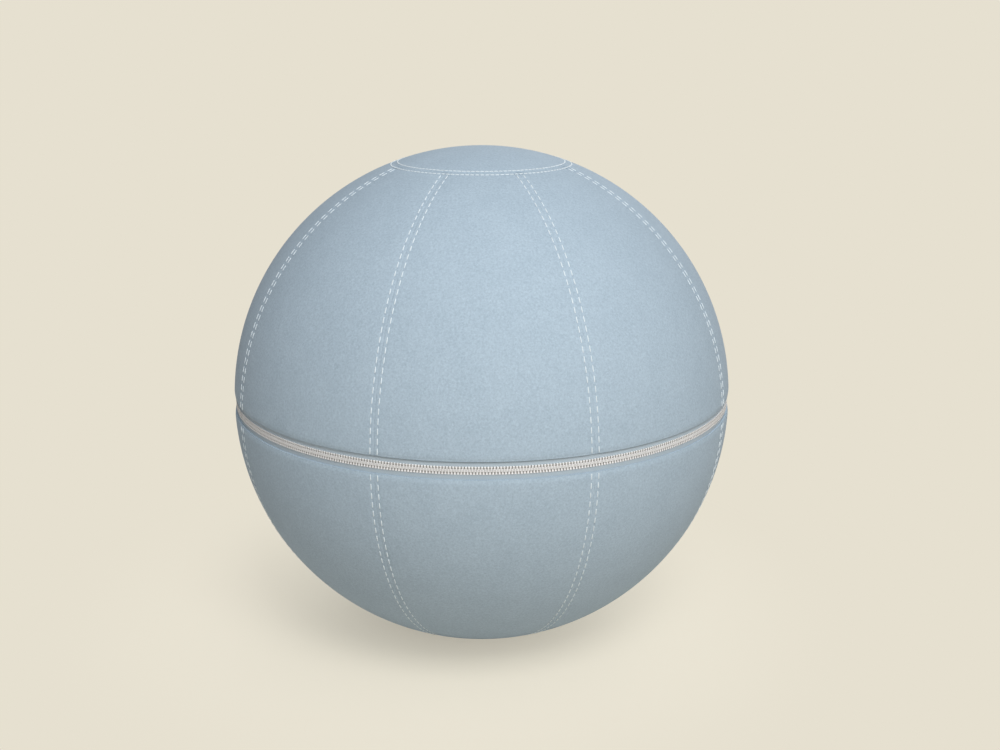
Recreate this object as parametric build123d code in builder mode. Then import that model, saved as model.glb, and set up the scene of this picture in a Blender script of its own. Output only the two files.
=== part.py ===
"""Sitting ball: an air-filled ball inside a felt cover that zips open round the middle.

Millimetres, +Z up. The origin is the middle of the flat patch that the ball rests on, the front is -Y,
and the zip begins and ends under a felt tab at the back, +Y.
"""

import os
from math import asin, cos, degrees, radians, sin, sqrt

from build123d import *

# Felt cover
ball_diameter = 650.0
foot_diameter = 100.0
felt_thickness = 3.0
gore_count = 8
round_panel_diameter = 222.0
seam_allowance = 8.0
ring_seam_gap = 0.2

# Zip, measured across from its middle line
zip_rise = 4.8
zip_gap = 20.0
chain_width = 10.0
tooth_pitch = 3.52
tooth_overlap = 3.0
tooth_base_width = 2.3
tooth_tip_width = 1.2
tooth_thickness = 2.8
tape_width = 16.0
tape_thickness = 0.6
tape_clearance = 0.1

# Felt tab at the back, over both ends of the zip
tab_width = 44.0
tab_height = 44.0
tab_thickness = 1.8
tab_clearance = 0.25
tab_corner = 6.0

# Slider and its pull
slider_length = 16.0
slider_plate = 1.1
slider_rail = 1.1
slider_clearance = 0.35
slider_slot = 1.6
slider_corner = 2.0
slider_edge = 0.35
divider_width = 3.2
lug_width = 3.2
lug_height = 3.5
lug_base = 9.0
pin_diameter = 1.8
pin_clearance = 0.35
pull_length = 28.0
pull_width = 8.0
pull_thickness = 1.6
pull_arm = 1.5
pull_edge = 0.35

# Stops at the ends of the zip
stop_length = 4.0
stop_width = 3.2
stop_clearance = 0.5
stop_slot_clearance = 0.3

# Air-filled ball and its valve
ball_clearance = 0.3
ball_wall = 1.0
valve_latitude = 35.0
collar_diameter = 15.0
weld_gap = 0.1
flange_diameter = 40.0
flange_thickness = 1.5
neck_diameter = 13.0
neck_length = 16.0
plug_diameter = 9.0
plug_clearance = 0.2
plug_length = 19.0
plug_taper = 0.6
plug_head_diameter = 16.0
plug_head_thickness = 1.4

# Radii from the middle of the ball, outside to inside
felt_radius = ball_diameter / 2
felt_inner = felt_radius - felt_thickness
allowance_inner = felt_inner - felt_thickness
air_radius = allowance_inner - ball_clearance
air_inner = air_radius - ball_wall
tape_outer = felt_inner - tape_clearance
tape_inner = tape_outer - tape_thickness
tape_middle = (tape_outer + tape_inner) / 2

# Heights
middle_height = sqrt(felt_radius**2 - (foot_diameter / 2) ** 2)
zip_height = middle_height + zip_rise
centre = Vector(0, 0, middle_height)

# Azimuths in degrees from +X: the seams stand either side of the front, and the zip ends at the back
gore_step = 360.0 / gore_count
first_seam = -90.0 + gore_step / 2
back = 90.0

os.makedirs("parts", exist_ok=True)


def latitude(rise, radius=felt_radius):
    """Latitude, in degrees, at which a layer of this radius stands this far above the ball's middle."""
    return degrees(asin(rise / radius))


def along(distance):
    """Angle round the ball, in degrees, for a distance along the zip."""
    return degrees(distance / felt_radius)


def meridian(azimuth):
    """Plane of a meridian: its x points outwards and its y points up from the middle of the ball."""
    a = radians(azimuth)
    return Plane(origin=centre, x_dir=(cos(a), sin(a), 0), z_dir=(sin(a), -cos(a), 0))


def on_zip(azimuth, distance):
    """Plane facing outwards on the zip's middle line: x along the zip, y up, at this distance out."""
    a = radians(azimuth)
    outwards = Vector(cos(a), sin(a), 0)
    place = outwards * distance + Vector(0, 0, zip_height)
    return Plane(origin=place, x_dir=(-sin(a), cos(a), 0), z_dir=outwards)


def band(inner, outer, low, high):
    """Section of a round layer between two radii and two latitudes, for a meridian plane."""
    with BuildSketch() as layer:
        with BuildLine():
            outside = CenterArc((0, 0), outer, low, high - low)
            inside = CenterArc((0, 0), inner, low, high - low)
            Line(outside @ 0, inside @ 0)
            Line(outside @ 1, inside @ 1)
        make_face()
    return layer.sketch


def finish(piece, name):
    """Names a finished piece and writes it to its own file."""
    piece.part.label = name
    export_step(piece.part, f"parts/{name}.step")


# Felt layers: where the zip gap and the round panels cut the gores, and how wide the turned-in edge is
ring_latitude = degrees(asin(sqrt(1 - (round_panel_diameter / ball_diameter) ** 2)))
ring_gap = along(ring_seam_gap)
turned_edge = along(seam_allowance)
tape_edge = chain_width / 2 + tape_width
under_tape = tape_edge + ball_clearance


def gore(side, number):
    """One gore of the upper (side 1) or lower (side -1) half, with its seam edges turned in."""
    name = f"{'upper' if side > 0 else 'lower'}_gore_{number + 1}"
    start = first_seam + number * gore_step
    section = meridian(start)
    raw_edge = latitude(zip_rise + side * zip_gap / 2)
    trimmed = latitude(zip_rise + side * under_tape)
    ring = side * ring_latitude
    middle = radians(start + gore_step / 2)
    apex_out = seam_allowance / sin(radians(gore_step / 2))
    apex = Vector(cos(middle), sin(middle), 0) * apex_out
    sides = [Vector(cos(radians(a)), sin(radians(a)), 0) for a in (start, start + gore_step)]

    with BuildPart() as piece:
        # Turned-in edges along both meridian seams, the same width from end to end
        with BuildSketch(section):
            add(band(allowance_inner, felt_inner, trimmed, ring))
        revolve(axis=Axis.Z, revolution_arc=gore_step)
        with BuildSketch(Plane.XY):
            with BuildLine():
                Polyline(apex, apex + sides[0] * ball_diameter, apex + sides[1] * ball_diameter, close=True)
            make_face()
        extrude(amount=ball_diameter, mode=Mode.SUBTRACT)
        # Turned-in edge along the round panel
        with BuildSketch(section):
            add(band(allowance_inner, felt_inner, ring - side * turned_edge, ring))
        revolve(axis=Axis.Z, revolution_arc=gore_step)
        # The felt itself, from the raw edge at the zip to the round panel
        with BuildSketch(section):
            add(band(felt_inner, felt_radius, raw_edge, ring))
        revolve(axis=Axis.Z, revolution_arc=gore_step)
    finish(piece, name)


for gore_number in range(gore_count):
    gore(1, gore_number)
    gore(-1, gore_number)

# Top panel: a round of felt with its edge turned in
panel_edge = ring_latitude + ring_gap
with BuildPart() as top_panel:
    with BuildSketch(meridian(0)):
        add(band(felt_inner, felt_radius, panel_edge, 90))
        add(band(allowance_inner, felt_inner, panel_edge, panel_edge + turned_edge))
    revolve(axis=Axis.Z)
finish(top_panel, "top_panel")

# Bottom panel: the same round, pressed flat where it stands on the floor
with BuildPart() as bottom_panel:
    with BuildSketch(meridian(0)):
        add(band(felt_inner, felt_radius, -90, -panel_edge))
        add(band(allowance_inner, felt_inner, -panel_edge - turned_edge, -panel_edge))
    revolve(axis=Axis.Z)
    with BuildSketch(Plane.XY):
        Circle(round_panel_diameter)
    extrude(amount=-ball_diameter, mode=Mode.SUBTRACT)
    with BuildSketch(Plane.XY):
        Circle(sqrt(felt_inner**2 - (middle_height - felt_thickness) ** 2))
    extrude(amount=felt_thickness)
finish(bottom_panel, "bottom_panel")

# Air-filled ball, with its own flat where it sits on the bottom panel and a hole for the valve
ball_seat = felt_thickness + ball_clearance
valve_out = Vector(0, -cos(radians(valve_latitude)), sin(radians(valve_latitude)))
valve_axis = Axis(centre, valve_out)
valve_section = Plane(origin=centre, x_dir=(1, 0, 0), z_dir=Vector(1, 0, 0).cross(valve_out))
with BuildPart() as inner_ball:
    with BuildSketch(meridian(0)):
        add(band(air_inner, air_radius, -90, 90))
    revolve(axis=Axis.Z)
    with BuildSketch(Plane.XY.offset(ball_seat)):
        Circle(round_panel_diameter)
    extrude(amount=-ball_diameter, mode=Mode.SUBTRACT)
    with BuildSketch(Plane.XY.offset(ball_seat)):
        Circle(sqrt(air_inner**2 - (middle_height - ball_seat - ball_wall) ** 2))
    extrude(amount=ball_wall)
    with BuildSketch(Plane(origin=centre, z_dir=valve_out)):
        Circle(collar_diameter / 2 + weld_gap)
    extrude(amount=ball_diameter, mode=Mode.SUBTRACT)
finish(inner_ball, "inner_ball")

# Valve seat: a collar in the ball's hole, a flange welded inside the wall and a neck for the plug
collar_top = sqrt(air_radius**2 - (collar_diameter / 2) ** 2)
seat_bore = plug_diameter / 2 + plug_clearance
flange_outer = air_inner - weld_gap
flange_reach = degrees(asin(flange_diameter / 2 / flange_outer))
neck_foot = flange_outer - flange_thickness - neck_length
with BuildPart() as valve_seat:
    with BuildSketch(valve_section):
        add(band(flange_outer - flange_thickness, flange_outer, 90 - flange_reach, 90))
        with BuildLine():
            Polyline(
                (0, collar_top),
                (collar_diameter / 2, collar_top),
                (collar_diameter / 2, flange_outer - flange_thickness / 2),
                (neck_diameter / 2, flange_outer - flange_thickness / 2),
                (neck_diameter / 2, neck_foot),
                (0, neck_foot),
                close=True,
            )
        make_face()
    revolve(axis=valve_axis)
    with BuildSketch(Plane(origin=centre, z_dir=valve_out)):
        Circle(seat_bore)
    extrude(amount=ball_diameter, mode=Mode.SUBTRACT)
finish(valve_seat, "valve_seat")

# Valve plug: a tapered stem and a thin round head that a fingernail lifts
head_foot = collar_top + weld_gap
stem = plug_diameter / 2
with BuildPart() as valve_plug:
    with BuildSketch(valve_section):
        with BuildLine():
            Polyline(
                (0, head_foot - plug_length),
                (stem - plug_taper, head_foot - plug_length),
                (stem, head_foot - plug_length / 2),
                (stem, head_foot),
                (plug_head_diameter / 2, head_foot),
                (plug_head_diameter / 2 - plug_head_thickness / 2, head_foot + plug_head_thickness),
                (0, head_foot + plug_head_thickness),
                close=True,
            )
        make_face()
    revolve(axis=valve_axis)
finish(valve_plug, "valve_plug")

# Where things stand along the zip, from the middle of the back: the closed end is towards +X
stop_start = tab_width / 2 + stop_clearance
chain_start = stop_start + stop_length + stop_clearance
slider_at = chain_start + slider_length / 2
slider_azimuth = back - along(slider_at)

# Zip tapes: two woven bands under the raw felt edges, whose ends lie under the tab
tape_end = along(tab_width / 4)
for side, name in ((1, "upper_zip_tape"), (-1, "lower_zip_tape")):
    with BuildPart() as zip_tape:
        with BuildSketch(meridian(back + tape_end)):
            chain_edge = latitude(zip_rise + side * (chain_width / 2 + tape_clearance), tape_inner)
            sewn_edge = latitude(zip_rise + side * tape_edge, tape_inner)
            add(band(tape_inner, tape_outer, chain_edge, sewn_edge))
        revolve(axis=Axis.Z, revolution_arc=360 - 2 * tape_end)
    finish(zip_tape, name)

# Zip teeth: tapered blocks moulded on the tape edges, the two rows half a pitch apart
tooth_step = degrees(tooth_pitch / tape_middle)
first_tooth = back + along(chain_start) + tooth_step
throat = slider_azimuth + 360
tooth_count = int((throat - first_tooth) / tooth_step)
tooth_tip = tooth_overlap / 2
for side, name in ((1, "upper_zip_teeth"), (-1, "lower_zip_teeth")):
    with BuildPart() as tooth:
        with BuildSketch(on_zip(0, tape_middle - tooth_thickness / 2)):
            with BuildLine():
                Polyline(
                    (-tooth_base_width / 2, side * chain_width / 2),
                    (-tooth_tip_width / 2, -side * tooth_tip),
                    (tooth_tip_width / 2, -side * tooth_tip),
                    (tooth_base_width / 2, side * chain_width / 2),
                    close=True,
                )
            make_face()
        extrude(amount=tooth_thickness)
    row_start = first_tooth + (tooth_step / 2 if side > 0 else 0)
    with BuildPart() as zip_teeth:
        with PolarLocations(0, tooth_count, row_start, tooth_count * tooth_step):
            add(tooth.part, clean=False)
    finish(zip_teeth, name)

# Zip slider: two plates joined by a divider at the mouth, rails that hold the teeth, and a lug
tail_half = chain_width / 2 + slider_clearance + slider_rail
mouth_half = tail_half + divider_width / 2
rail_gap = slider_slot / 2
teeth_gap = tooth_thickness / 2 + slider_clearance / 2
half_length = slider_length / 2
shoulder = slider_length / 5
lug_top_radius = pin_diameter / 2 + pin_clearance + slider_plate


def slider_outline():
    """Outline of a slider plate, wide at the mouth where the two rows come in."""
    with BuildSketch() as plate:
        with BuildLine():
            Polyline(
                (-half_length, -tail_half),
                (-shoulder, -tail_half),
                (shoulder, -mouth_half),
                (half_length, -mouth_half),
                (half_length, mouth_half),
                (shoulder, mouth_half),
                (-shoulder, tail_half),
                (-half_length, tail_half),
                close=True,
            )
        make_face()
        fillet(plate.vertices(), radius=slider_corner)
    return plate.sketch


plate_top = tape_middle + teeth_gap + slider_plate
pin_out = plate_top + lug_height
slider_out = on_zip(slider_azimuth, plate_top).z_dir
with BuildPart() as zip_slider:
    # Both plates and the rails between them
    with BuildSketch(on_zip(slider_azimuth, tape_middle)):
        add(slider_outline())
    extrude(amount=teeth_gap + slider_plate, both=True)
    plates = zip_slider.faces().sort_by(Axis((0, 0, zip_height), slider_out))
    fillet(plates[0].edges() + plates[-1].edges(), radius=slider_edge)
    # Room for the two rows of teeth
    with BuildSketch(on_zip(slider_azimuth, tape_middle)):
        add(slider_outline())
        offset(amount=-slider_rail, kind=Kind.INTERSECTION, mode=Mode.REPLACE)
        Rectangle(2 * slider_length, 2 * (tail_half - slider_rail))
        with Locations((half_length, 0)):
            Rectangle(slider_length - 2 * shoulder, 2 * (mouth_half - slider_rail))
    extrude(amount=teeth_gap, both=True, mode=Mode.SUBTRACT)
    # Slot along both sides for the tapes
    with BuildSketch(on_zip(slider_azimuth, tape_middle)):
        Rectangle(2 * slider_length, 4 * mouth_half)
    extrude(amount=rail_gap, both=True, mode=Mode.SUBTRACT)
    # Divider that parts the rows at the mouth
    with BuildSketch(on_zip(slider_azimuth, tape_middle)):
        with BuildLine():
            Polyline(
                (shoulder / 2, 0),
                (half_length, -divider_width / 2),
                (half_length, divider_width / 2),
                close=True,
            )
        make_face()
    extrude(amount=teeth_gap + slider_plate / 2, both=True)
    # Lug on the front plate, with the eye for the pull
    side_plane = Plane(
        origin=on_zip(slider_azimuth, plate_top).origin,
        x_dir=on_zip(slider_azimuth, plate_top).x_dir,
        z_dir=(0, 0, -1),
    )
    with BuildSketch(side_plane):
        with BuildLine():
            Polyline(
                (-lug_base / 2, 0),
                (-lug_top_radius, lug_height),
                (lug_top_radius, lug_height),
                (lug_base / 2, 0),
                (lug_base / 2, -slider_plate / 2),
                (-lug_base / 2, -slider_plate / 2),
                close=True,
            )
        make_face()
        with Locations((0, lug_height)):
            Circle(lug_top_radius)
            Circle(pin_diameter / 2 + pin_clearance, mode=Mode.SUBTRACT)
    extrude(amount=lug_width / 2, both=True)
finish(zip_slider, "zip_slider")

# Zip pull: a flat tab with a window that passes round the lug, and a pin through the eye
window_half = lug_width / 2 + pin_clearance
window_length = lug_base / 2 + lug_height
eye_half = window_half + pull_arm
with BuildPart() as zip_pull:
    with BuildSketch(on_zip(slider_azimuth, pin_out - pull_thickness / 2)):
        with BuildLine():
            tip = CenterArc((-pull_length + pull_width / 2, 0), pull_width / 2, 90, 180)
            Polyline(tip @ 0, (pin_diameter / 2, eye_half), (pin_diameter / 2, -eye_half), tip @ 1)
        make_face()
        with Locations((-(window_length + pin_diameter) / 2, 0)):
            Rectangle(window_length, 2 * window_half, mode=Mode.SUBTRACT)
        with Locations((-pull_length + pull_width, 0)):
            SlotOverall(pull_width * 1.5, pull_width / 3, mode=Mode.SUBTRACT)
    extrude(amount=pull_thickness)
    sides = zip_pull.faces().sort_by(Axis((0, 0, zip_height), slider_out))
    fillet(sides[0].outer_wire().edges() + sides[-1].outer_wire().edges(), radius=pull_edge)
    with BuildSketch(Plane(origin=on_zip(slider_azimuth, pin_out).origin, z_dir=(0, 0, 1))):
        Circle(pin_diameter / 2)
    extrude(amount=eye_half, both=True)
finish(zip_pull, "zip_pull")

# Top stops: a small clip on each tape, in front of the slider's mouth
clip_thickness = tooth_thickness
slot_half = tape_thickness / 2 + stop_slot_clearance
top_stop_azimuth = back - along(stop_start + stop_length / 2)
for side, name in ((1, "upper_top_stop"), (-1, "lower_top_stop")):
    with BuildPart() as top_stop:
        with BuildSketch(on_zip(top_stop_azimuth, tape_middle)):
            with Locations((0, side * chain_width / 2)):
                RectangleRounded(stop_length, stop_width, tape_thickness)
        extrude(amount=clip_thickness / 2, both=True)
        with BuildSketch(on_zip(top_stop_azimuth, tape_middle)):
            with Locations((0, side * (chain_width / 2 + stop_width / 2))):
                Rectangle(2 * stop_length, stop_width)
        extrude(amount=slot_half, both=True, mode=Mode.SUBTRACT)
    finish(top_stop, name)

# Bottom stop: one clip across both tapes, where the zip begins
bottom_stop_azimuth = back + along(stop_start + stop_length / 2)
with BuildPart() as bottom_stop:
    with BuildSketch(on_zip(bottom_stop_azimuth, tape_middle)):
        RectangleRounded(stop_length, chain_width + stop_width, tape_thickness)
    extrude(amount=clip_thickness / 2, both=True)
    with BuildSketch(on_zip(bottom_stop_azimuth, tape_middle)):
        for side in (1, -1):
            with Locations((0, side * (chain_width / 2 - stop_slot_clearance + stop_width / 2))):
                Rectangle(2 * stop_length, stop_width)
    extrude(amount=slot_half, both=True, mode=Mode.SUBTRACT)
finish(bottom_stop, "bottom_stop")

# Felt tab: sewn to both halves over the ends of the zip, it bends when the upper half is opened
tab_inner = felt_radius + tab_clearance
with BuildPart() as back_tab:
    with BuildSketch(meridian(back - along(tab_width / 2))):
        tab_low = latitude(zip_rise - tab_height / 2)
        tab_high = latitude(zip_rise + tab_height / 2)
        add(band(tab_inner, tab_inner + tab_thickness, tab_low, tab_high))
    revolve(axis=Axis.Z, revolution_arc=along(tab_width))
    corners = back_tab.edges().filter_by(lambda edge: edge.length < 2 * tab_thickness)
    fillet(corners, radius=tab_corner)
finish(back_tab, "back_tab")
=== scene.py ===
from math import asin, atan2, cos, exp, pi, radians, sin, sqrt, tan

import bmesh
import bpy
from mathutils import Matrix, Vector


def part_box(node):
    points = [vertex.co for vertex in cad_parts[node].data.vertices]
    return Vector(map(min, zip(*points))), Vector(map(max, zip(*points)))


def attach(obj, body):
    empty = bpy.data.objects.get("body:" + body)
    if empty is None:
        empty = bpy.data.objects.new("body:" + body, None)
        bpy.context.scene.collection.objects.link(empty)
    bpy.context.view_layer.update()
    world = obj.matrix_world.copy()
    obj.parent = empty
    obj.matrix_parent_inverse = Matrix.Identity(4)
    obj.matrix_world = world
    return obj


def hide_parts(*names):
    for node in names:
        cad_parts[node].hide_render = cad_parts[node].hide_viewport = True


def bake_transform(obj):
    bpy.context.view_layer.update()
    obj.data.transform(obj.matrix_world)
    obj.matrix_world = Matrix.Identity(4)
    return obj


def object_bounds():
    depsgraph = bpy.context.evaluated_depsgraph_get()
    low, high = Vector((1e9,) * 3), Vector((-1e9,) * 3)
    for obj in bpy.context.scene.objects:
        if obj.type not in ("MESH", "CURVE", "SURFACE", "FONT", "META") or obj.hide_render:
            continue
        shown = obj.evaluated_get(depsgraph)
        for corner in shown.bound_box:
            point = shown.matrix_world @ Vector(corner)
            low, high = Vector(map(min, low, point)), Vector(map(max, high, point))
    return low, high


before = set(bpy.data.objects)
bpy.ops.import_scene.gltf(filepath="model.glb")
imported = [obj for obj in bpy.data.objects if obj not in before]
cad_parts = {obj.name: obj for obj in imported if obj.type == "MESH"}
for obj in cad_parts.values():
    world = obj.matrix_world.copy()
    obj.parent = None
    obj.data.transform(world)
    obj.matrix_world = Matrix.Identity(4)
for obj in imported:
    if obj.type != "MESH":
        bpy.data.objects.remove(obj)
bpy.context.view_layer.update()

# Inner ball. An air-filled ball of soft plastic, welded from two halves, which carries the sitter.
# It fills the cover and shows only when the upper half is open.
BALL_LOW, BALL_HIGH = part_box("inner_ball")
FLOOR_GAP = 0.0033
CENTRE = Vector((0, 0, BALL_HIGH.z - (BALL_HIGH.x - BALL_LOW.x) / 2))
BALL_RADIUS = BALL_HIGH.z - CENTRE.z
BALL_RINGS = 96
WELD_WIDTH = 0.0022
WELD_HEIGHT = 0.0006


def paint(red, green, blue):
    """A colour as it is mixed on a chart, 0 to 255, turned into light."""
    light = [((c / 255 + 0.055) / 1.055) ** 2.4 for c in (red, green, blue)]
    return (*light, 1)


def new_finish(name, colour, roughness, sheen=0.0):
    """A plain finish of one colour, with its nodes, its links and its shader."""
    finish = bpy.data.materials.new(name)
    finish.use_nodes = True
    nodes = finish.node_tree.nodes
    shader = nodes["Principled BSDF"]
    shader.inputs["Base Color"].default_value = colour
    shader.inputs["Roughness"].default_value = roughness
    shader.inputs["Sheen Weight"].default_value = sheen
    return finish, nodes, finish.node_tree.links, shader


def speckle(finish, scale, detail, low, high, colours, bump, distance):
    """Mottles a finish between two colours and roughens its surface with the same grain."""
    nodes = finish.node_tree.nodes
    links = finish.node_tree.links
    shader = nodes["Principled BSDF"]
    place = nodes.new("ShaderNodeTexCoord")
    grain = nodes.new("ShaderNodeTexNoise")
    grain.inputs["Scale"].default_value = scale
    grain.inputs["Detail"].default_value = detail
    ramp = nodes.new("ShaderNodeValToRGB")
    ramp.color_ramp.elements[0].position = low
    ramp.color_ramp.elements[1].position = high
    ramp.color_ramp.elements[0].color = colours[0]
    ramp.color_ramp.elements[1].color = colours[1]
    relief = nodes.new("ShaderNodeBump")
    relief.inputs["Strength"].default_value = bump
    relief.inputs["Distance"].default_value = distance
    links.new(place.outputs["Object"], grain.inputs["Vector"])
    links.new(grain.outputs["Fac"], ramp.inputs["Fac"])
    links.new(ramp.outputs["Color"], shader.inputs["Base Color"])
    links.new(grain.outputs["Fac"], relief.inputs["Height"])
    links.new(relief.outputs["Normal"], shader.inputs["Normal"])


def settle(mesh_tool, name, finish, body, smooth=True):
    """Turns a finished bmesh into a piece that rides on a body, with its cut edges left sharp."""
    for edge in mesh_tool.edges:
        edge.smooth = not edge.is_boundary
    mesh = bpy.data.meshes.new(name)
    mesh_tool.to_mesh(mesh)
    mesh_tool.free()
    mesh.materials.append(finish)
    mesh.polygons.foreach_set("use_smooth", [smooth] * len(mesh.polygons))
    piece = bpy.data.objects.new(name, mesh)
    bpy.context.scene.collection.objects.link(piece)
    if body:
        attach(piece, body)
    return piece


ball_skin = new_finish("ball_skin", paint(96, 104, 112), 0.42)[0]
speckle(ball_skin, 420, 3, 0.35, 0.7, (paint(90, 98, 106), paint(104, 112, 120)), 0.12, 0.0004)

ball_mesh = bmesh.new()
bmesh.ops.create_uvsphere(ball_mesh, u_segments=2 * BALL_RINGS, v_segments=BALL_RINGS, radius=BALL_RADIUS)
for vert in ball_mesh.verts:
    weld = exp(-((vert.co.z / WELD_WIDTH) ** 2)) * WELD_HEIGHT
    vert.co += vert.co.normalized() * weld
    vert.co += CENTRE
    vert.co.z = max(vert.co.z, FLOOR_GAP)
inner_ball = settle(ball_mesh, "inner_ball_skin", ball_skin, "lower_half")
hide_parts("inner_ball")

# Valve. A soft collar welded into the ball's wall, and the plug pushed into it.
# Both are plain moulded pieces, so they keep their solids and get a satin finish.
valve_plastic = new_finish("valve_plastic", paint(226, 226, 222), 0.38)[0]
speckle(valve_plastic, 600, 2, 0.3, 0.75, (paint(220, 220, 216), paint(231, 231, 228)), 0.08, 0.0003)


def dress(node, finish):
    """Gives a finish to a piece that keeps its solid."""
    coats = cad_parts[node].data.materials
    coats.clear()
    coats.append(finish)


dress("valve_seat", ball_skin)
dress("valve_plug", valve_plastic)

# Felt gores. Eight tapered panels of wool felt make each half of the cover, sewn edge to edge with
# the edges turned in, so each seam lies in a shallow valley between two rows of topstitching.
FELT_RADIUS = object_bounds()[1].z - CENTRE.z
FELT_THICKNESS = 0.003
GORE_COUNT = 8
GORE_ANGLE = 2 * pi / GORE_COUNT
RING_RADIUS = 0.111
RING_LATITUDE = asin(sqrt(1 - (RING_RADIUS / FELT_RADIUS) ** 2))
ZIP_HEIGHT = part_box("bottom_stop")[0].z / 2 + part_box("bottom_stop")[1].z / 2
ZIP_GAP = 0.0215
GORE_COLUMNS = 48
GORE_ROWS = 168
EDGE_COLUMNS = 0.25
RAW_ROWS = 0.03
BODY_ROWS = 0.93
EDGE_BAND = 0.012
RAW_BAND = 0.003
RAW_DEPTH = 0.0009
SEAM_DEPTH = 0.0003
SEAM_WIDTH = 0.0008
PRESSED_DEPTH = 0.0003
PRESSED_WIDTH = 0.020
ROW_OFFSET = 0.0045
STITCH_PITCH = 0.0114
STITCH_START = 0.005
DIMPLE_DEPTH = 0.0004
DIMPLE_WIDTH = 0.0014
DIMPLE_LEAST = 0.45
SEAM_PARTING = 0.00002


def felt_finish(name, pale, dark):
    """Wool felt: matted fibres that mottle the colour, over a soft heather and a fine nap."""
    finish, nodes, links, shader = new_finish(name, pale, 0.95, 0.06)
    shader.inputs["Sheen Roughness"].default_value = 0.5
    shader.inputs["Specular IOR Level"].default_value = 0.2
    place = nodes.new("ShaderNodeTexCoord")
    fibres = nodes.new("ShaderNodeTexNoise")
    fibres.inputs["Scale"].default_value = 420
    fibres.inputs["Detail"].default_value = 8
    fibres.inputs["Roughness"].default_value = 0.72
    fibres.inputs["Distortion"].default_value = 0.35
    cloud = nodes.new("ShaderNodeTexNoise")
    cloud.inputs["Scale"].default_value = 26
    cloud.inputs["Detail"].default_value = 4
    blend = nodes.new("ShaderNodeMath")
    blend.operation = "MULTIPLY_ADD"
    blend.inputs[1].default_value = 0.12
    ramp = nodes.new("ShaderNodeValToRGB")
    ramp.color_ramp.elements[0].position = 0.40
    ramp.color_ramp.elements[1].position = 0.72
    ramp.color_ramp.elements[0].color = dark
    ramp.color_ramp.elements[1].color = pale
    relief = nodes.new("ShaderNodeBump")
    relief.inputs["Strength"].default_value = 0.35
    relief.inputs["Distance"].default_value = 0.0006
    links.new(place.outputs["Object"], fibres.inputs["Vector"])
    links.new(place.outputs["Object"], cloud.inputs["Vector"])
    links.new(cloud.outputs["Fac"], blend.inputs[0])
    links.new(fibres.outputs["Fac"], blend.inputs[2])
    links.new(blend.outputs["Value"], ramp.inputs["Fac"])
    links.new(ramp.outputs["Color"], shader.inputs["Base Color"])
    links.new(fibres.outputs["Fac"], relief.inputs["Height"])
    links.new(relief.outputs["Normal"], shader.inputs["Normal"])
    return finish


felt = felt_finish("felt", paint(193, 211, 224), paint(167, 186, 200))


def spread(share, marks):
    """Reads a value off a line through a few marks, each a share and a value."""
    for (a, low), (b, high) in zip(marks, marks[1:]):
        if share <= b:
            return low + (high - low) * (share - a) / (b - a)
    return marks[-1][1]


def hump(distance, width):
    """A smooth rise of height one, as wide as said."""
    return exp(-((distance / width) ** 2))


def sewn_dip(to_seam, along_seam, pitch, start):
    """How far felt is drawn in, this far from a seam: the valley, the pressed strip and the stitches."""
    valley = SEAM_DEPTH * hump(to_seam, SEAM_WIDTH)
    pressed = PRESSED_DEPTH * max(0, 1 - to_seam / PRESSED_WIDTH) ** 2
    between = 0.5 - 0.5 * cos(2 * pi * (along_seam - start) / pitch)
    dimple = DIMPLE_DEPTH * hump(to_seam - ROW_OFFSET, DIMPLE_WIDTH)
    return valley + pressed + dimple * (DIMPLE_LEAST + (1 - DIMPLE_LEAST) * between)


RING_STITCHES = 120
RING_PITCH = 2 * pi * RING_RADIUS / RING_STITCHES


def raw_level(side):
    """The latitude of the raw felt edge above (side 1) or below (side -1) the zip."""
    return asin((ZIP_HEIGHT - CENTRE.z + side * ZIP_GAP / 2) / FELT_RADIUS)


def on_ball(out, level, angle):
    """A place this far from the middle of the ball, at a latitude and a longitude."""
    return (out * cos(level) * cos(angle), out * cos(level) * sin(angle), out * sin(level))


def turn_all(tool, angle, axis):
    """Turns everything about an axis through the middle of the ball."""
    bmesh.ops.rotate(tool, verts=tool.verts, cent=(0, 0, 0), matrix=Matrix.Rotation(angle, 3, axis))


def shift_all(tool, step):
    """Moves everything by a step."""
    bmesh.ops.translate(tool, verts=tool.verts, vec=step)


def gore_mesh(side, turn):
    """One gore of the upper (side 1) or lower (side -1) half, laid on the ball at this turn about Z."""
    raw = raw_level(side)
    length = (RING_LATITUDE - side * raw) * FELT_RADIUS
    rows = [(0, 0), (RAW_ROWS, RAW_BAND), (BODY_ROWS, length - EDGE_BAND), (1, length)]
    tool = bmesh.new()
    bmesh.ops.create_grid(tool, x_segments=GORE_COLUMNS, y_segments=GORE_ROWS, size=0.5)
    for vert in tool.verts:
        up = spread(vert.co.y + 0.5, rows)
        level = raw + side * up / FELT_RADIUS
        width = GORE_ANGLE * FELT_RADIUS * cos(level)
        columns = [
            (0, SEAM_PARTING),
            (EDGE_COLUMNS, EDGE_BAND),
            (1 - EDGE_COLUMNS, width - EDGE_BAND),
            (1, width - SEAM_PARTING),
        ]
        across = spread(vert.co.x + 0.5, columns)
        to_seam = min(across, width - across)
        dip = sewn_dip(to_seam, up, STITCH_PITCH, STITCH_START)
        around = (across / width - 0.5) * GORE_ANGLE * RING_RADIUS
        dip += sewn_dip(length - up, around, RING_PITCH, RING_PITCH / 2)
        dip += RAW_DEPTH * hump(up, RAW_BAND)
        angle = across / (FELT_RADIUS * cos(level)) - GORE_ANGLE / 2
        vert.co = on_ball(FELT_RADIUS - dip, level, angle)
    if side < 0:
        bmesh.ops.reverse_faces(tool, faces=tool.faces)
    turn_all(tool, turn, "Z")
    shift_all(tool, CENTRE)
    return tool


def thicken(piece, thickness):
    """Gives a sheet its thickness on the inner side."""
    wall = piece.modifiers.new("thickness", "SOLIDIFY")
    wall.thickness = thickness
    wall.offset = -1


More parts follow.
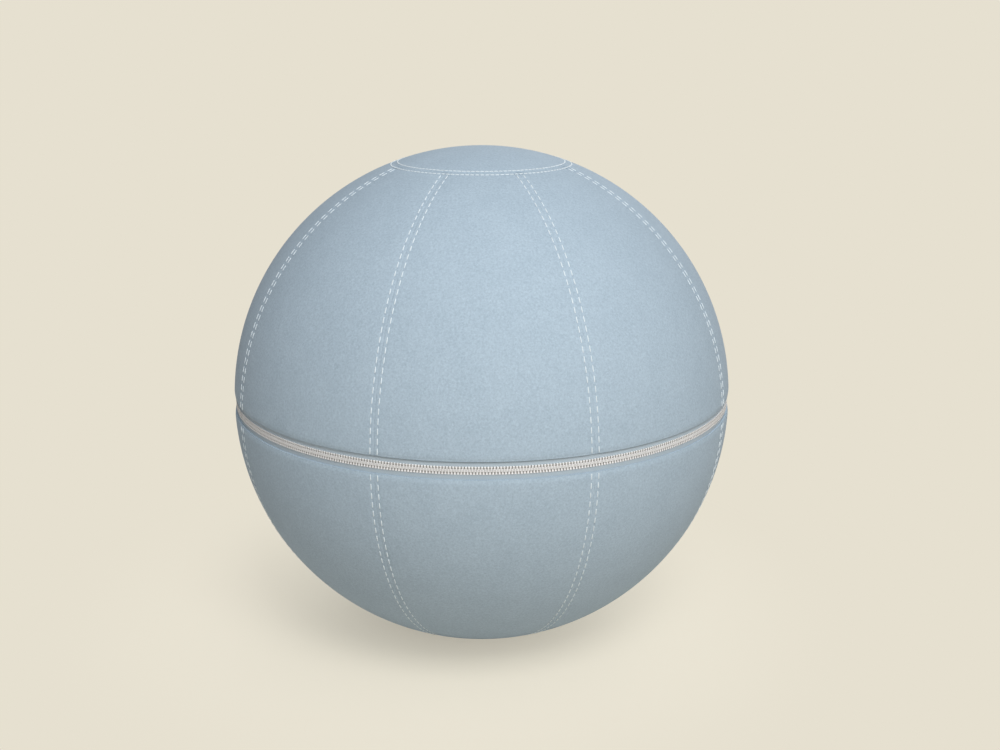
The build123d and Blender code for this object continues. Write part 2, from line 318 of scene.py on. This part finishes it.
TURNED_WIDTH = 0.0078
TURNED_THICKNESS = 0.0027
TURNED_ROUND = 0.0009
TURNED_STEPS = 64
TURNED_START = 0.0115
TURNED_GAP = 0.0002
TURNED_OUT = FELT_RADIUS - FELT_THICKNESS - TURNED_THICKNESS / 2 - TURNED_GAP


def edge_section():
    """The section of an edge of felt that is turned in and pressed flat: out along X, across along Y."""
    tool = bmesh.new()
    bmesh.ops.create_grid(tool, x_segments=1, y_segments=1, size=0.5)
    bmesh.ops.scale(tool, verts=tool.verts, vec=(TURNED_THICKNESS, TURNED_WIDTH, 1))
    bmesh.ops.bevel(tool, geom=tool.verts[:], offset=TURNED_ROUND, affect="VERTICES", segments=2,
                    profile=0.5, material=-1)
    shift_all(tool, (TURNED_OUT, 0, 0))
    return tool


def all_of(tool):
    """Every vertex, edge and face of a bmesh."""
    return tool.verts[:] + tool.edges[:] + tool.faces[:]


def sweep(tool, axis, angle, steps):
    """Carries a section round an axis through the middle of the ball."""
    bmesh.ops.spin(tool, geom=all_of(tool), cent=(0, 0, 0), axis=axis, angle=angle, steps=steps)


def join(tool, other):
    """Adds another bmesh to this one."""
    passing = bpy.data.meshes.new("passing")
    other.to_mesh(passing)
    other.free()
    tool.from_mesh(passing)
    bpy.data.meshes.remove(passing)


def ring_edge(side, inwards, start, angle, steps):
    """The turned-in edge at a round panel's seam: the gores' (inwards -1) or the panel's (inwards 1)."""
    tool = edge_section()
    turn_all(tool, pi / 2, "X")
    shift_all(tool, (0, 0, side * inwards * (TURNED_WIDTH / 2 + SEAM_PARTING)))
    turn_all(tool, -side * RING_LATITUDE, "Y")
    turn_all(tool, start, "Z")
    sweep(tool, (0, 0, 1), angle, steps)
    return tool


def turned_edges(side, turn):
    """A gore's turned-in edges, along both of its seams and along the round panel."""
    raw = raw_level(side)
    start = raw + side * TURNED_START / FELT_RADIUS
    reach = RING_LATITUDE - side * start - TURNED_WIDTH / FELT_RADIUS
    tool = ring_edge(side, -1, -GORE_ANGLE / 2, GORE_ANGLE, TURNED_STEPS // 4)
    for hand in (1, -1):
        edge = edge_section()
        shift_all(edge, (0, -hand * (TURNED_WIDTH / 2 + SEAM_PARTING), 0))
        turn_all(edge, -start, "Y")
        sweep(edge, (0, -side, 0), reach, TURNED_STEPS)
        turn_all(edge, hand * GORE_ANGLE / 2, "Z")
        join(tool, edge)
    turn_all(tool, turn, "Z")
    shift_all(tool, CENTRE)
    bmesh.ops.recalc_face_normals(tool, faces=tool.faces)
    return tool


for half, side in (("upper", 1), ("lower", -1)):
    for number in range(GORE_COUNT):
        middle = -pi / 2 + GORE_ANGLE * (number + 1)
        name = f"{half}_gore_{number + 1}"
        body = f"{half}_half"
        gore = settle(gore_mesh(side, middle), name + "_felt", felt, body)
        thicken(gore, FELT_THICKNESS)
        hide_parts(name)
        edges = settle(turned_edges(side, middle), name + "_turned_edges", felt, body, False)

# Round panels. A round of the same felt closes each pole, set in with two rows of finer topstitching.
# The lower one is pressed flat where the ball stands on the floor.
PANEL_STEPS = 4 * RING_STITCHES
PANEL_RINGS = 44
PANEL_EDGE_RINGS = 0.4
POLE_MERGE = 0.00002


def panel_mesh(side):
    """A round panel: its section from seam to pole, spun about the upright axis."""
    reach = (pi / 2 - RING_LATITUDE) * FELT_RADIUS
    rings = [(0, SEAM_PARTING), (PANEL_EDGE_RINGS, EDGE_BAND), (1, reach)]
    tool = bmesh.new()
    section = []
    for ring in range(PANEL_RINGS + 1):
        inwards = spread(ring / PANEL_RINGS, rings)
        level = RING_LATITUDE + inwards / FELT_RADIUS
        section.append(tool.verts.new((FELT_RADIUS * cos(level), 0, FELT_RADIUS * sin(level))))
    lines = [tool.edges.new(pair) for pair in zip(section, section[1:])]
    bmesh.ops.spin(tool, geom=section + lines, cent=(0, 0, 0), axis=(0, 0, 1), angle=2 * pi,
                   steps=PANEL_STEPS, use_merge=True)
    bmesh.ops.remove_doubles(tool, verts=tool.verts, dist=POLE_MERGE)
    for vert in tool.verts:
        level = asin(min(1, vert.co.z / FELT_RADIUS))
        inwards = (level - RING_LATITUDE) * FELT_RADIUS
        around = atan2(vert.co.y, vert.co.x) * RING_RADIUS
        vert.co *= 1 - sewn_dip(inwards, around, RING_PITCH, RING_PITCH / 2) / FELT_RADIUS
        vert.co.z *= side
    shift_all(tool, CENTRE)
    for vert in tool.verts:
        vert.co.z = max(vert.co.z, 0.0)
    bmesh.ops.recalc_face_normals(tool, faces=tool.faces)
    outwards = sum(face.normal.z * face.calc_area() for face in tool.faces)
    if outwards * side < 0:
        bmesh.ops.reverse_faces(tool, faces=tool.faces)
    return tool


for name, side, half in (("top_panel", 1, "upper_half"), ("bottom_panel", -1, "lower_half")):
    panel = settle(panel_mesh(side), name + "_felt", felt, half)
    thicken(panel, FELT_THICKNESS)
    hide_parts(name)
    panel_edge = ring_edge(side, 1, 0, 2 * pi, 2 * TURNED_STEPS)
    shift_all(panel_edge, CENTRE)
    bmesh.ops.recalc_face_normals(panel_edge, faces=panel_edge.faces)
    edge = settle(panel_edge, name + "_turned_edge", felt, half, False)

# Topstitching. White thread in two rows along each seam, long stitches beside the gores and short ones
# round the end panels. The machine pulls each stitch a little into the felt.
STITCH_LENGTH = 0.0078
STITCH_WIDTH = 0.00135
STITCH_HEIGHT = 0.0011
STITCH_SINK = 0.0002
INNER_START = STITCH_START + STITCH_PITCH
INNER_SINK = 0.0056
RING_STITCH_LENGTH = 0.0054
RING_STITCH_WIDTH = 0.0016
THREAD_SIDES = 8
THREAD_RINGS = 6
END_LIMIT = 0.999
END_FULLNESS = 4

white_thread = new_finish("white_thread", paint(240, 250, 255), 0.7)[0]
speckle(white_thread, 1800, 3, 0.3, 0.7, (paint(237, 247, 253), paint(244, 253, 255)), 0.2, 0.0002)
thread_nodes = white_thread.node_tree.nodes
twist = thread_nodes.new("ShaderNodeTexWave")
twist.bands_direction = "DIAGONAL"
twist.inputs["Scale"].default_value = 420
twist.inputs["Distortion"].default_value = 1.5
twist_relief = thread_nodes.new("ShaderNodeBump")
twist_relief.inputs["Strength"].default_value = 0.35
twist_relief.inputs["Distance"].default_value = 0.0003
thread_grain = thread_nodes["Bump"]
thread_links = white_thread.node_tree.links
thread_links.new(thread_nodes["Texture Coordinate"].outputs["Object"], twist.inputs["Vector"])
thread_links.new(twist.outputs["Fac"], twist_relief.inputs["Height"])
thread_links.new(thread_grain.outputs["Normal"], twist_relief.inputs["Normal"])
thread_links.new(twist_relief.outputs["Normal"], thread_nodes["Principled BSDF"].inputs["Normal"])


def stitch_mesh(length, width):
    """One stitch of thread at the middle of the ball's front face, upright, on the surface at +X."""
    tool = bmesh.new()
    bmesh.ops.create_uvsphere(tool, u_segments=THREAD_SIDES, v_segments=THREAD_RINGS, radius=0.5)
    for vert in tool.verts:
        reach = min(END_LIMIT, abs(2 * vert.co.z))
        fuller = (1 - reach**END_FULLNESS) ** (1 / END_FULLNESS) / sqrt(1 - reach**2)
        vert.co.x *= fuller
        vert.co.y *= fuller
    bmesh.ops.scale(tool, verts=tool.verts, vec=(STITCH_HEIGHT, width, length))
    return tool


def repeat(tool, axis, step, copies):
    """Copies everything round an axis through the middle of the ball, a step at a time."""
    bmesh.ops.spin(tool, geom=all_of(tool), cent=(0, 0, 0), axis=axis, angle=step * copies,
                   steps=copies, use_duplicate=True)


def seam_stitches(side, start, sink):
    """Both rows along every gore seam of one half, from this far past the raw edge, sunk this deep."""
    raw = raw_level(side)
    length = (RING_LATITUDE - side * raw) * FELT_RADIUS
    count = int((length - start - ROW_OFFSET) / STITCH_PITCH)
    tool = stitch_mesh(STITCH_LENGTH, STITCH_WIDTH)
    out = sqrt(FELT_RADIUS**2 - ROW_OFFSET**2) - sink
    shift_all(tool, (out, ROW_OFFSET, 0))
    other = bmesh.ops.duplicate(tool, geom=all_of(tool))["geom"]
    moved = [item for item in other if isinstance(item, bmesh.types.BMVert)]
    bmesh.ops.translate(tool, verts=moved, vec=(0, -2 * ROW_OFFSET, 0))
    first = raw + side * start / FELT_RADIUS
    turn_all(tool, -first, "Y")
    repeat(tool, (0, -side, 0), STITCH_PITCH / FELT_RADIUS, count)
    turn_all(tool, GORE_ANGLE / 2, "Z")
    repeat(tool, (0, 0, 1), GORE_ANGLE, GORE_COUNT - 1)
    shift_all(tool, CENTRE)
    return tool


def ring_stitches(side, sink):
    """Both rows round one end panel, sunk this deep."""
    tool = bmesh.new()
    for offset in (-ROW_OFFSET, ROW_OFFSET):
        level = side * (RING_LATITUDE + offset / FELT_RADIUS)
        one = stitch_mesh(RING_STITCH_WIDTH, RING_STITCH_LENGTH)
        shift_all(one, (FELT_RADIUS - sink, 0, 0))
        turn_all(one, -level, "Y")
        repeat(one, (0, 0, 1), 2 * pi / RING_STITCHES, RING_STITCHES - 1)
        join(tool, one)
    shift_all(tool, CENTRE)
    return tool


for half, side in (("upper", 1), ("lower", -1)):
    for face, start, sink in (("outer", STITCH_START, STITCH_SINK), ("inner", INNER_START, INNER_SINK)):
        seams = seam_stitches(side, start, sink)
        settle(seams, f"{half}_seam_stitches_{face}", white_thread, f"{half}_half")
        rings = ring_stitches(side, sink)
        settle(rings, f"{half}_ring_stitches_{face}", white_thread, f"{half}_half")

# Zip tapes. Two woven bands, sewn under the raw felt edges, with the teeth moulded on their inner edges.
# A strip of each shows between the teeth and the felt.
HALF_TOOTH = 0.0014
TAPE_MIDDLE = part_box("upper_zip_teeth")[1].x - HALF_TOOTH
TAPE_THICKNESS = 0.0006
CHAIN_HALF = 0.005
TAPE_WIDTH = 0.016
TAPE_EDGE = 0.0009
CORD_REACH = 0.0045
SHOWN_STRIP = 0.0025
COVERED_STRIP = 0.005
TAPE_STEPS = 360
TAB_HALF = 0.022
WEAVE_LENGTH = 0.0020
WEAVE_WIDTH = 0.0016
WAVE_LENGTH = 2 * pi / 20


def weave_finish(name, dark, pale):
    """Plain weave on the tape's own map: threads along it and across it take turns on top."""
    finish, nodes, links, shader = new_finish(name, pale, 0.85, 0.15)
    place = nodes.new("ShaderNodeTexCoord")
    lifts = []
    for direction, size in (("X", WEAVE_LENGTH), ("Y", WEAVE_WIDTH)):
        thread = nodes.new("ShaderNodeTexWave")
        thread.bands_direction = direction
        thread.inputs["Scale"].default_value = WAVE_LENGTH / size
        thread.inputs["Distortion"].default_value = 0.4
        centred = nodes.new("ShaderNodeMath")
        centred.operation = "SUBTRACT"
        centred.inputs[1].default_value = 0.5
        links.new(place.outputs["UV"], thread.inputs["Vector"])
        links.new(thread.outputs["Fac"], centred.inputs[0])
        lifts.append(centred)
    crossing = nodes.new("ShaderNodeMath")
    crossing.operation = "MULTIPLY"
    ramp = nodes.new("ShaderNodeValToRGB")
    ramp.color_ramp.elements[0].color = dark
    ramp.color_ramp.elements[1].color = pale
    height = nodes.new("ShaderNodeMapRange")
    height.inputs["From Min"].default_value = -0.25
    height.inputs["From Max"].default_value = 0.25
    relief = nodes.new("ShaderNodeBump")
    relief.inputs["Strength"].default_value = 0.5
    relief.inputs["Distance"].default_value = 0.0004
    links.new(lifts[0].outputs["Value"], crossing.inputs[0])
    links.new(lifts[1].outputs["Value"], crossing.inputs[1])
    links.new(crossing.outputs["Value"], height.inputs["Value"])
    links.new(height.outputs["Result"], ramp.inputs["Fac"])
    links.new(ramp.outputs["Color"], shader.inputs["Base Color"])
    links.new(height.outputs["Result"], relief.inputs["Height"])
    links.new(relief.outputs["Normal"], shader.inputs["Normal"])
    return finish


zip_tape = weave_finish("zip_tape", paint(166, 182, 193), paint(206, 219, 227))
# The cord along each tape's inner edge, under the teeth: its own warm neutral tone, painted darker grey
# as the shade in the gaps between the teeth.
tape_cord_painted_shade = weave_finish("tape_cord_painted_shade", paint(150, 147, 144), paint(182, 178, 174))


def tape_mesh(side):
    """One tape: a thin strip on the ball, spun round it from one end under the tab to the other."""
    tool = bmesh.new()
    rise = ZIP_HEIGHT - CENTRE.z
    heights = [TAPE_EDGE, CORD_REACH]
    heights += [CHAIN_HALF + strip for strip in (SHOWN_STRIP, COVERED_STRIP, TAPE_WIDTH)]
    section = []
    for height in heights:
        z = rise + side * height
        section.append(tool.verts.new((sqrt((TAPE_MIDDLE + TAPE_THICKNESS / 2) ** 2 - z**2), 0, z)))
    lines = [tool.edges.new(pair) for pair in zip(section, section[1:])]
    gap = TAB_HALF / 2 / FELT_RADIUS
    turn_all(tool, pi / 2 + gap, "Z")
    bmesh.ops.spin(tool, geom=section + lines, cent=(0, 0, 0), axis=(0, 0, 1), angle=2 * pi - 2 * gap,
                   steps=TAPE_STEPS)
    bmesh.ops.recalc_face_normals(tool, faces=tool.faces)
    first = tool.faces[:][0]
    if first.normal.dot(first.calc_center_median()) < 0:
        bmesh.ops.reverse_faces(tool, faces=tool.faces)
    weave = tool.loops.layers.uv.new("weave")
    for face in tool.faces:
        for corner in face.loops:
            x, y, z = corner.vert.co
            along = (atan2(y, x) - pi / 2) % (2 * pi) * TAPE_MIDDLE
            corner[weave].uv = (along, z)
    shift_all(tool, CENTRE)
    return tool


for half, side in (("upper", 1), ("lower", -1)):
    tape = settle(tape_mesh(side), f"{half}_zip_tape_weave", zip_tape, f"{half}_half")
    tape.data.materials.append(tape_cord_painted_shade)
    # Faces near the zip line, under the teeth, take the cord's painted shade finish.
    for face in tape.data.polygons:
        face.material_index = int(abs(face.center.z - ZIP_HEIGHT) < CORD_REACH)
    thicken(tape, TAPE_THICKNESS)
    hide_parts(f"{half}_zip_tape")

# Zip teeth. White plastic blocks moulded on the tape edges: a broad root and a narrow head that
# locks between two heads of the other row. Their flanks are painted a darker grey as shade; the plastic
# is the same white all over.
TOOTH_SPACING = 0.00352
TOOTH_PITCH = TOOTH_SPACING / TAPE_MIDDLE
TOOTH_COUNT = 555
TEETH_START = 0.027
FIRST_TOOTH = pi / 2 + TEETH_START / FELT_RADIUS + TOOTH_PITCH
TOOTH_BLOCKS = (
    (0.0029, 0.0025, 0.0032, 0.0046),
    (0.0022, 0.0018, 0.0014, 0.0038),
    (0.0025, 0.0016, -0.0015, 0.0020),
)
TOOTH_ROUND = 0.00018
PAINTED_SHADE_FACING = 0.6

teeth_plastic = new_finish("teeth_plastic", paint(253, 252, 251), 0.45)[0]
speckle(teeth_plastic, 500, 2, 0.3, 0.7, (paint(251, 250, 249), paint(255, 255, 255)), 0.1, 0.0002)
# Painted shade: the teeth's flanks get this darker grey for the shade that falls between the teeth, not
# for a colour of the plastic.
teeth_flanks_painted_shade = new_finish("teeth_flanks_painted_shade", paint(184, 182, 178), 0.6)[0]
speckle(teeth_flanks_painted_shade, 500, 2, 0.3, 0.7, (paint(180, 178, 174), paint(188, 186, 182)), 0.1, 0.0002)


def teeth_mesh(side):
    """One row of teeth, round from the bottom stop to the slider."""
    tool = bmesh.new()
    for depth, width, low, high in TOOTH_BLOCKS:
        block = bmesh.ops.create_cube(tool, size=1)["verts"]
        bmesh.ops.scale(tool, verts=block, vec=(depth, width, high - low))
        bmesh.ops.translate(tool, verts=block, vec=(TAPE_MIDDLE, 0, side * (low + high) / 2))
    bmesh.ops.bevel(tool, geom=tool.edges[:], offset=TOOTH_ROUND, affect="EDGES", segments=1,
                    profile=0.5, material=-1)
    tool.normal_update()
    for face in tool.faces:
        # Faces that face along the chain take the painted shade finish.
        face.material_index = int(abs(face.normal.y) > PAINTED_SHADE_FACING)
    turn = FIRST_TOOTH + (TOOTH_PITCH / 2 if side > 0 else 0)
    turn_all(tool, turn, "Z")
    repeat(tool, (0, 0, 1), TOOTH_PITCH, TOOTH_COUNT - 1)
    shift_all(tool, (0, 0, ZIP_HEIGHT))
    return tool


for half, side in (("upper", 1), ("lower", -1)):
    row = teeth_mesh(side)
    teeth = settle(row, f"{half}_zip_teeth_row", teeth_plastic, f"{half}_half", False)
    teeth.data.materials.append(teeth_flanks_painted_shade)
    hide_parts(f"{half}_zip_teeth")

# Zip stops. Small clips of the same plastic, pressed on the tape edges, close the ends of the chain.
# They keep their solids and share the finish of the teeth.
for node in ("upper_top_stop", "lower_top_stop", "bottom_stop"):
    dress(node, teeth_plastic)

# Slider and pull. Cast metal with a satin plating: the slider runs on the teeth, and the pull turns
# on the slider's lug. Both keep their solids.
slider_metal = new_finish("slider_metal", paint(226, 227, 229), 0.28)[0]
slider_metal.node_tree.nodes["Principled BSDF"].inputs["Metallic"].default_value = 1.0
speckle(slider_metal, 260, 3, 0.3, 0.7, (paint(220, 221, 223), paint(232, 233, 235)), 0.05, 0.0002)
for node in ("zip_slider", "zip_pull"):
    dress(node, slider_metal)

# Back tab. A rounded piece of thinner felt, sewn to both halves over the ends of the zip.
# It is the hinge when the upper half is folded open.
TAB_LOW, TAB_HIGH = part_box("back_tab")
TAB_THICKNESS = 0.0018
TAB_CELLS = 40
TAB_ROUND = 0.28
TAB_LIFT = 0.0021
TAB_EDGE_DROP = 0.0006
TAB_EDGE_WIDTH = 0.04


def tab_mesh():
    """The tab: a square sheet with its corners drawn in, laid on the ball at the back."""
    tool = bmesh.new()
    bmesh.ops.create_grid(tool, x_segments=TAB_CELLS, y_segments=TAB_CELLS, size=1)
    half = (TAB_HIGH.z - TAB_LOW.z) / 2
    middle = (TAB_HIGH.z + TAB_LOW.z) / 2 - CENTRE.z
    for vert in tool.verts:
        u, v = vert.co.x, vert.co.y
        across = TAB_HALF * u * sqrt(1 - TAB_ROUND * v**4 / 2)
        rise = middle + half * v * sqrt(1 - TAB_ROUND * u**4 / 2)
        level = asin(rise / FELT_RADIUS)
        edge = max(abs(u), abs(v))
        out = FELT_RADIUS + TAB_LIFT - TAB_EDGE_DROP * hump(1 - edge, TAB_EDGE_WIDTH)
        vert.co = on_ball(out, level, pi / 2 - across / FELT_RADIUS)
    bmesh.ops.recalc_face_normals(tool, faces=tool.faces)
    first = tool.faces[:][0]
    if first.normal.y < 0:
        bmesh.ops.reverse_faces(tool, faces=tool.faces)
    shift_all(tool, CENTRE)
    return tool


back_tab = settle(tab_mesh(), "back_tab_felt", felt, None)
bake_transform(back_tab)
thicken(back_tab, TAB_THICKNESS)
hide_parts("back_tab")

TAB_SEAM = 0.0165
TAB_STITCH_LENGTH = 0.0044
TAB_STITCHES = 7
TAB_PITCH = 0.0058


def tab_stitches(side):
    """The row that holds one end of the tab to its half of the cover."""
    tool = stitch_mesh(RING_STITCH_WIDTH, TAB_STITCH_LENGTH)
    level = asin((ZIP_HEIGHT - CENTRE.z + side * TAB_SEAM) / FELT_RADIUS)
    step = TAB_PITCH / FELT_RADIUS
    shift_all(tool, (FELT_RADIUS + TAB_LIFT, 0, 0))
    turn_all(tool, -level, "Y")
    turn_all(tool, pi / 2 - step * (TAB_STITCHES - 1) / 2, "Z")
    repeat(tool, (0, 0, 1), step, TAB_STITCHES - 1)
    shift_all(tool, CENTRE)
    return tool


for half, side in (("upper", 1), ("lower", -1)):
    settle(tab_stitches(side), f"{half}_tab_stitches", white_thread, f"{half}_half")

# Stage. A plain pale floor that runs up into the background, soft light from the upper right front,
# and a camera at the photograph's angle.
FLOOR_HALF = 12
FLOOR_COLOUR = paint(230, 224, 208)
FLOOR_BOUNCE = paint(226, 219, 206)
SHADOW_SHARE = 0.64
SHADOW_LIFT = 0.50
SHADOW_MIDDLE = (-0.05, 0.05, 0)
SHADOW_REACH = (0.02, 0.57)
CAMERA_DISTANCE = 5.460 * FELT_RADIUS
CAMERA_ELEVATION = radians(16.62)
CAMERA_AZIMUTH = radians(-0.488)
CAMERA_YAW = radians(0.771)
CAMERA_PITCH = radians(0.710)
IMAGE_WIDTH = 1000
FOCAL_PIXELS = 1325.3
SENSOR_WIDTH = 36
SKY_COLOUR = (0.93, 0.95, 1.0, 1)
SKY_STRENGTH = 0.28
LAMPS = (
    ("key", (0.42, -1.98, 2.36), 1.1, 50),
    ("fill", (1.8, -1.2, 0.9), 1.6, 1),
    ("back", (0.7, 2.6, 1.35), 1.6, 24),
)

floor_mesh = bmesh.new()
bmesh.ops.create_grid(floor_mesh, x_segments=1, y_segments=1, size=FLOOR_HALF)
floor_paint, floor_nodes, floor_links, floor_shader = new_finish("floor_paint", FLOOR_BOUNCE, 0.95)
floor_place = floor_nodes.new("ShaderNodeTexCoord")
floor_reach = floor_nodes.new("ShaderNodeVectorMath")
floor_reach.operation = "DISTANCE"
floor_reach.inputs[1].default_value = SHADOW_MIDDLE
floor_fade = floor_nodes.new("ShaderNodeMapRange")
floor_fade.interpolation_type = "SMOOTHSTEP"
floor_fade.inputs["From Min"].default_value = SHADOW_REACH[0]
floor_fade.inputs["From Max"].default_value = SHADOW_REACH[1]
floor_fade.inputs["To Min"].default_value = SHADOW_SHARE
floor_fade.inputs["To Max"].default_value = 0.0
floor_lift = floor_nodes.new("ShaderNodeMath")
floor_lift.operation = "MULTIPLY_ADD"
floor_lift.inputs[1].default_value = SHADOW_LIFT
floor_lift.inputs[2].default_value = 1.0
floor_glow = floor_nodes.new("ShaderNodeEmission")
floor_glow.inputs["Color"].default_value = FLOOR_COLOUR
floor_matt = floor_nodes.new("ShaderNodeBsdfDiffuse")
floor_matt.inputs["Color"].default_value = FLOOR_COLOUR
floor_rays = floor_nodes.new("ShaderNodeLightPath")
floor_seen = floor_nodes.new("ShaderNodeMixShader")
floor_all = floor_nodes.new("ShaderNodeMixShader")
floor_links.new(floor_place.outputs["Object"], floor_reach.inputs[0])
floor_links.new(floor_reach.outputs["Value"], floor_fade.inputs["Value"])
floor_links.new(floor_fade.outputs["Result"], floor_lift.inputs[0])
floor_links.new(floor_lift.outputs["Value"], floor_glow.inputs["Strength"])
floor_links.new(floor_fade.outputs["Result"], floor_seen.inputs["Fac"])
floor_links.new(floor_glow.outputs["Emission"], floor_seen.inputs[1])
floor_links.new(floor_matt.outputs["BSDF"], floor_seen.inputs[2])
floor_links.new(floor_rays.outputs["Is Camera Ray"], floor_all.inputs["Fac"])
floor_links.new(floor_shader.outputs["BSDF"], floor_all.inputs[1])
floor_links.new(floor_seen.outputs["Shader"], floor_all.inputs[2])
floor_links.new(floor_all.outputs["Shader"], floor_nodes["Material Output"].inputs["Surface"])
floor_sheet = bpy.data.meshes.new("floor")
floor_mesh.to_mesh(floor_sheet)
floor_mesh.free()
floor_sheet.materials.append(floor_paint)
floor = bpy.data.objects.new("floor", floor_sheet)
bpy.context.scene.collection.objects.link(floor)

world = bpy.data.worlds.new("studio")
bpy.context.scene.world = world
world.use_nodes = True
sky = world.node_tree.nodes["Background"]
sky.inputs["Color"].default_value = SKY_COLOUR
sky.inputs["Strength"].default_value = SKY_STRENGTH
backdrop = world.node_tree.nodes.new("ShaderNodeBackground")
backdrop.inputs["Color"].default_value = FLOOR_COLOUR
rays = world.node_tree.nodes.new("ShaderNodeLightPath")
mixer = world.node_tree.nodes.new("ShaderNodeMixShader")
output = world.node_tree.nodes["World Output"]
world.node_tree.links.new(rays.outputs["Is Camera Ray"], mixer.inputs["Fac"])
world.node_tree.links.new(sky.outputs["Background"], mixer.inputs[1])
world.node_tree.links.new(backdrop.outputs["Background"], mixer.inputs[2])
world.node_tree.links.new(mixer.outputs["Shader"], output.inputs["Surface"])


def soft_lamp(name, place, size, power):
    """A square soft light that faces the middle of the ball."""
    lamp = bpy.data.lights.new(name, "AREA")
    lamp.size = size
    lamp.energy = power
    stand = bpy.data.objects.new(name, lamp)
    stand.location = place
    stand.rotation_euler = (CENTRE - Vector(place)).to_track_quat("-Z", "Y").to_euler()
    bpy.context.scene.collection.objects.link(stand)


for lamp in LAMPS:
    soft_lamp(*lamp)

towards = Vector(on_ball(1, CAMERA_ELEVATION, CAMERA_AZIMUTH - pi / 2))
aim = -towards
right = aim.cross(Vector((0, 0, 1))).normalized()
upright = right.cross(aim)
aim = aim + tan(CAMERA_YAW) * right + tan(CAMERA_PITCH) * upright
camera_data = bpy.data.cameras.new("camera")
camera_data.sensor_width = SENSOR_WIDTH
camera_data.lens = SENSOR_WIDTH * FOCAL_PIXELS / IMAGE_WIDTH
camera = bpy.data.objects.new("camera", camera_data)
camera.location = CENTRE + towards * CAMERA_DISTANCE
camera.rotation_euler = aim.to_track_quat("-Z", "Y").to_euler()
bpy.context.scene.collection.objects.link(camera)
bpy.context.scene.camera = camera
bpy.context.scene.view_settings.view_transform = "Standard"
